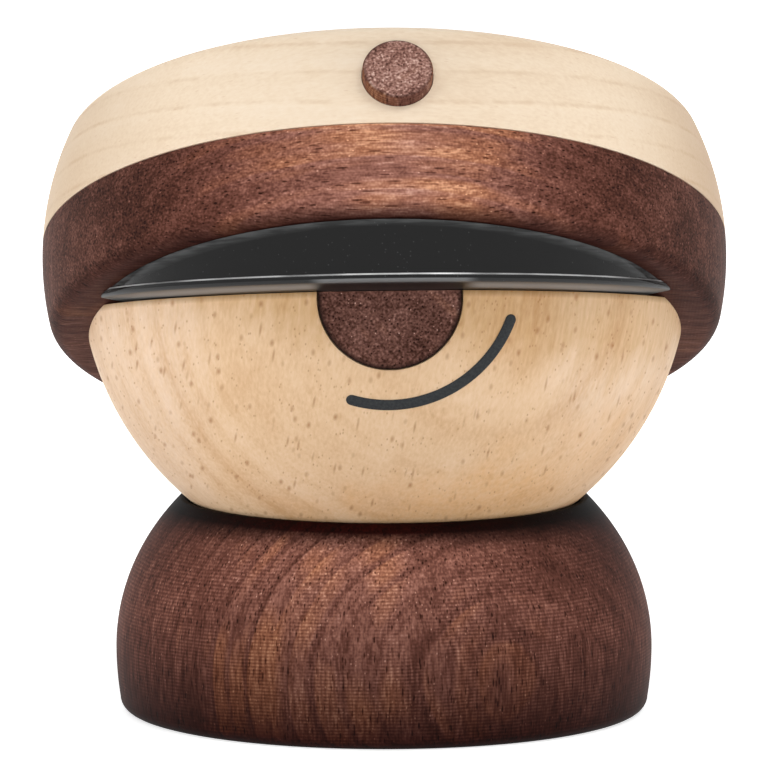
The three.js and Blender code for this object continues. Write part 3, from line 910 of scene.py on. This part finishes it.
LACQUER = black_lacquer("sprayed_black_lacquer")
print("lacquer with", len(LACQUER.node_tree.nodes), "nodes")

# %% [markdown]
# The smile is a stroke of matt black paint. Its film follows the brush, so it is
# slightly uneven in tone and height, and has hardly any gloss.

# %% Matt paint
def matt_paint(name):
    made, tree = emptied(bpy.data.materials.new(name))
    grain = add(tree, "TexNoise", {"Vector": laid(tree, NOSE), "Scale": 3.0, "Detail": 2.0})
    tone = add(tree, "ValToRGB", {0: grain}, stops=[(0.35, "#2b2d2f"), (0.7, "#383a3b")])
    surfaced(tree, tone, 0.6, 0.15, grain, 0.2, 0.03)
    return made


PAINT = matt_paint("matt_black_paint")
print("paints:", LACQUER.name, "and", PAINT.name)

# %% [markdown]
# ## The body
#
# The body is a low dome, a little wider at a tenth of its height than at its foot,
# with a dish on top for the ball and a hole for the neck dowel. The dome stops
# where it comes within the rim's width of the dish.

# %% Body
def body_profile():
    centre, dish = (0, BALL_HEIGHT), BALL_RADIUS + SEAT_GAP
    foot = -math.asin((BODY_WIDEST - BODY_EDGE) / BODY_SKIRT)

    def dome(t):
        return BODY_RADIUS * math.cos(t), BODY_WIDEST + BODY_DOME * math.sin(t)

    low, high = 0.0, math.pi / 2
    for _ in range(40):
        middle = (low + high) / 2
        clear = math.dist(dome(middle), centre) > dish + DISH_RIM
        low, high = (middle, high) if clear else (low, middle)
    rim = dome(low)
    edge = (BODY_RADIUS * math.cos(foot) - BODY_EDGE, BODY_EDGE)
    skirt = [(BODY_RADIUS * math.cos(t), BODY_WIDEST + BODY_SKIRT * math.sin(t))
             for t in (foot * (10 - i) / 10 for i in range(1, 10))]
    inner = math.acos((BALL_HEIGHT - rim[1]) / dish)
    hole = NECK_DOWEL + DOWEL_GAP
    last = math.asin(hole / dish)
    bottom = DISH_FLOOR - NECK_DEPTH - DOWEL_END
    dishes = [(dish * math.sin(a), BALL_HEIGHT - dish * math.cos(a))
              for a in (inner + (last - inner) * i / 24 for i in range(25))]
    profile = [(0, 0), (edge[0] - 1, 0)] + arc(edge, BODY_EDGE, -math.pi / 2, 0, 8) + skirt
    profile += [dome(low * i / 48) for i in range(49)]
    profile += dishes + [(hole, bottom), (0, bottom)]
    return eased(profile, rim, 0.12, 3)


body = turned("figure_body", body_profile(), BODY_WOOD, 256, Matrix())
fitted(body, "body", "torso")

# %% [markdown]
# ## The head
#
# The head is a ball, but turned here about the nose's axis, so that the nose's hole
# and its softened rim come off the same profile. Two flat cuts follow: the shelf
# for the visor and the seat of the cap.

# %% Head
NOSE_FACE = math.sqrt(BALL_RADIUS ** 2 - NOSE_RADIUS ** 2) + NOSE_PROUD
NOSE_BACK = NOSE_FACE - NOSE_LENGTH


def head_profile():
    hole = NOSE_RADIUS + DOWEL_GAP
    rim_angle = math.acos(hole / BALL_RADIUS)
    profile = arc((0, 0), BALL_RADIUS, -math.pi / 2, rim_angle, 120)
    rim = profile[-1]
    floor_height = NOSE_BACK - DOWEL_END
    profile += [(hole, floor_height), (0, floor_height)]
    return eased(profile, rim, 0.2, 3)


head = turned("ball_head", head_profile(), BEECH, 224, NOSE)
cut_above(head, SHELF)
cut_above(head, CAP)
neck_hole_top = NECK_DEPTH + SEAT_GAP + DISH_FLOOR + DOWEL_END - BALL_HEIGHT
bored(head, NECK_DOWEL + DOWEL_GAP, -BALL_RADIUS - 2, neck_hole_top, HEAD)
bored(head, CAP_DOWEL + DOWEL_GAP, -CAP_DOWEL_DEPTH - DOWEL_END, 5, CAP)
fitted(head, "head", "head_and_cap")

# %% [markdown]
# ## Nose and button
#
# Both are short dowels glued into their holes, with a sanded face. The nose is cut
# off flush under the visor.

# %% Nose and button
def dowel_profile(radius, low, high, edge):
    profile = [(0, low), (radius, low), (radius, high), (0, high)]
    profile = eased(profile, (radius, low), 0.8, 2)
    return eased(profile, (radius, high), edge, 6)


nose = turned("dowel_nose", dowel_profile(NOSE_RADIUS, NOSE_BACK, NOSE_FACE, NOSE_EDGE),
              NOSE_WOOD, 160, NOSE)
cut_above(nose, SHELF)
fitted(nose, "nose", "head_and_cap")

BUTTON_FACE = CAP_SIDE + BUTTON_PROUD
button = turned("cap_cockade", dowel_profile(BUTTON_RADIUS, BUTTON_FACE - BUTTON_LENGTH,
                                             BUTTON_FACE, BUTTON_EDGE), BUTTON_WOOD, 128, BUTTON)
fitted(button, "cap_button", "head_and_cap")

# %% [markdown]
# ## The cap
#
# Band and crown are turned from two discs glued together, so one outline runs over
# both: a rounded lower edge, a bulging side, a small shoulder and a shallow dome.

# %% Band and crown
SIDE = (side_x, CAP_WIDEST)
DOME = (0, CAP_HEIGHT - CAP_DOME)
lower_x = side_x + math.sqrt((CAP_SIDE - CAP_LOWER_EDGE) ** 2 - (CAP_WIDEST - CAP_LOWER_EDGE) ** 2)
LOWER = (lower_x, CAP_LOWER_EDGE)
SHOULDER = meeting(SIDE, CAP_SIDE - CAP_SHOULDER, DOME, CAP_DOME - CAP_SHOULDER)
SEAM_EASE = 0.12


def band_profile():
    start = angle_of(SIDE, LOWER)
    seam = math.asin((BAND_HEIGHT - CAP_WIDEST) / CAP_SIDE)
    hole = CAP_DOWEL + DOWEL_GAP
    outer = arc(LOWER, CAP_LOWER_EDGE, -math.pi / 2, start, 14)
    outer += arc(SIDE, CAP_SIDE, start, seam, 28)[1:]
    profile = [(hole, 0), (lower_x - 1.2, 0)] + outer + [(hole, BAND_HEIGHT), (hole, 0)]
    return eased(profile, outer[-1], SEAM_EASE, 3)


def crown_profile():
    seam = BAND_HEIGHT + GLUE_GAP
    start = math.asin((seam - CAP_WIDEST) / CAP_SIDE)
    side_end = angle_of(SIDE, SHOULDER)
    dome_edge = angle_of(DOME, SHOULDER)
    hole, top = CAP_DOWEL + DOWEL_GAP, BAND_HEIGHT + CAP_DOWEL_DEPTH + DOWEL_END
    outer = arc(SIDE, CAP_SIDE, start, side_end, 40)
    rim = outer[0]
    outer += arc(SHOULDER, CAP_SHOULDER, side_end, dome_edge, 12)[1:]
    outer += arc(DOME, CAP_DOME, dome_edge, math.pi / 2, 28)[1:]
    return eased([(0, top), (hole, top), (hole, seam)] + outer, rim, SEAM_EASE, 3)


band = turned("cap_band_ring", band_profile(), BAND_WOOD, 256, CAP)
fitted(band, "cap_band", "head_and_cap")

crown = turned("cap_crown_dome", crown_profile(), MAPLE, 256, CAP)
bored(crown, BUTTON_RADIUS + DOWEL_GAP, BUTTON_FACE - BUTTON_LENGTH - DOWEL_END, BUTTON_FACE + 5,
      BUTTON)
fitted(crown, "cap_crown", "head_and_cap")

# %% [markdown]
# ## The visor
#
# A disc with a bead round its lower edge and a taper underneath is turned, and the
# cap's underside cuts it to a wedge.

# %% Visor
def visor_profile():
    crest, wall = GLUE_GAP + BEAD_DROP, VISOR_RADIUS - BEAD_PROUD
    edge = (VISOR_RADIUS - VISOR_EDGE, crest)
    taper_start = (VISOR_RADIUS - VISOR_TAPER, GLUE_GAP)
    slope = angle_of(taper_start, edge) - math.asin(VISOR_EDGE / math.dist(taper_start, edge))
    under = arc(edge, VISOR_EDGE, slope - math.pi / 2, 0, 16)
    over = arc((wall, crest), BEAD_PROUD, 0, math.pi / 2, 12, BEAD_RISE)
    top = [(wall, crest + 2 * BEAD_RISE), (wall, CAP_RADIUS), (0, CAP_RADIUS)]
    return [(0, GLUE_GAP), taper_start] + under + over[1:] + top


visor = turned("lacquered_visor", visor_profile(), LACQUER, 256, SHELF)
cut_above(visor, CAP, -GLUE_GAP)
fitted(visor, "visor", "head_and_cap")

# %% [markdown]
# ## The smile
#
# One brush stroke follows an arc below the nose and lies on the ball, so it is made
# from its path: a tree bends an arc onto the ball, stands its normals on the surface
# and sweeps a flat lens of paint along it.

# %% Smile
def stroke_tree():
    tree, given = new_tree("paint_stroke", Path="Geometry", Ball="Float", Width="Float",
                           Swell="Float", Paint="Material")
    line = add(tree, "GeometryNodeMeshToCurve", {0: given["Path"]})
    where = add(tree, "GeometryNodeInputPosition")
    direction = add(tree, "VectorMath", {0: where}, operation="NORMALIZE")
    on_ball = add(tree, "VectorMath", {0: direction, "Scale": given["Ball"]}, operation="SCALE")
    bent = add(tree, "GeometryNodeSetPosition", {"Geometry": line, "Position": on_ball})
    stood = add(tree, "GeometryNodeSetCurveNormal", {"Curve": bent, "Normal": direction},
                mode="FREE")
    along = add(tree, "GeometryNodeSplineParameter")
    length = add(tree, "GeometryNodeSplineLength").outputs["Length"]
    rest = add(tree, "Math", {0: length, 1: along.outputs["Length"]}, operation="SUBTRACT")
    nearest = add(tree, "Math", {0: along.outputs["Length"], 1: rest}, operation="MINIMUM")
    half_width = add(tree, "Math", {0: given["Width"], 1: 0.5}, operation="MULTIPLY")
    ratio = add(tree, "Math", {0: nearest, 1: half_width}, operation="DIVIDE", use_clamp=True)
    inward = add(tree, "Math", {0: 1.0, 1: ratio}, operation="SUBTRACT")
    square = add(tree, "Math", {0: inward, 1: inward}, operation="MULTIPLY")
    room = add(tree, "Math", {0: 1.0, 1: square}, operation="SUBTRACT")
    taper = add(tree, "Math", {0: room}, operation="SQRT")
    safe = add(tree, "Math", {0: taper, 1: 0.02}, operation="MAXIMUM")
    ring = add(tree, "GeometryNodeCurvePrimitiveCircle", {"Resolution": 24, "Radius": 1.0})
    flat = add(tree, "CombineXYZ", {0: given["Swell"], 1: half_width, 2: 1.0})
    lens = add(tree, "GeometryNodeTransform", {"Geometry": ring.outputs["Curve"], "Scale": flat})
    swept = add(tree, "GeometryNodeCurveToMesh", {
        "Curve": stood, "Profile Curve": lens, "Scale": safe, "Fill Caps": True})
    return finished(tree, swept, given["Paint"])


def smile_path(steps=96):
    reach = SMILE_WIDTH / 2 / SMILE_RADIUS
    start, end = math.radians(SMILE_START) - reach, math.radians(SMILE_END) + reach
    path = []
    for i in range(steps + 1):
        # Steps close up at the ends, so that the round ends get enough of them
        t = start + (end - start) * (0.5 - 0.5 * math.cos(math.pi * i / steps))
        x, z = SMILE_SIDE + SMILE_RADIUS * math.sin(t), SMILE_RISE - SMILE_RADIUS * math.cos(t)
        path.append((x * MM, -math.sqrt(BALL_RADIUS ** 2 - x * x - z * z) * MM, z * MM))
    return path


path = smile_path()
path_mesh = bpy.data.meshes.new("smile_path")
path_mesh.from_pydata(path, [(i, i + 1) for i in range(len(path) - 1)], [])
smile = grown("painted_smile", path_mesh, stroke_tree(), {
    "Ball": (BALL_RADIUS + SMILE_LIFT) * MM, "Width": SMILE_WIDTH * MM,
    "Swell": SMILE_SWELL * MM, "Paint": PAINT})
smile.data.transform(scaled(FACE))
fitted(smile, "smile", "head_and_cap")

# %% [markdown]
# ## The hidden dowels
#
# The two dowels inside can't be seen. They keep their CAD shape and take the beech.

# %% Dowels
for node in ("neck_dowel", "cap_dowel"):
    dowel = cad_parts[node]
    dowel.data.materials.clear()
    dowel.data.materials.append(BEECH)
    print(node, "in", BEECH.name)
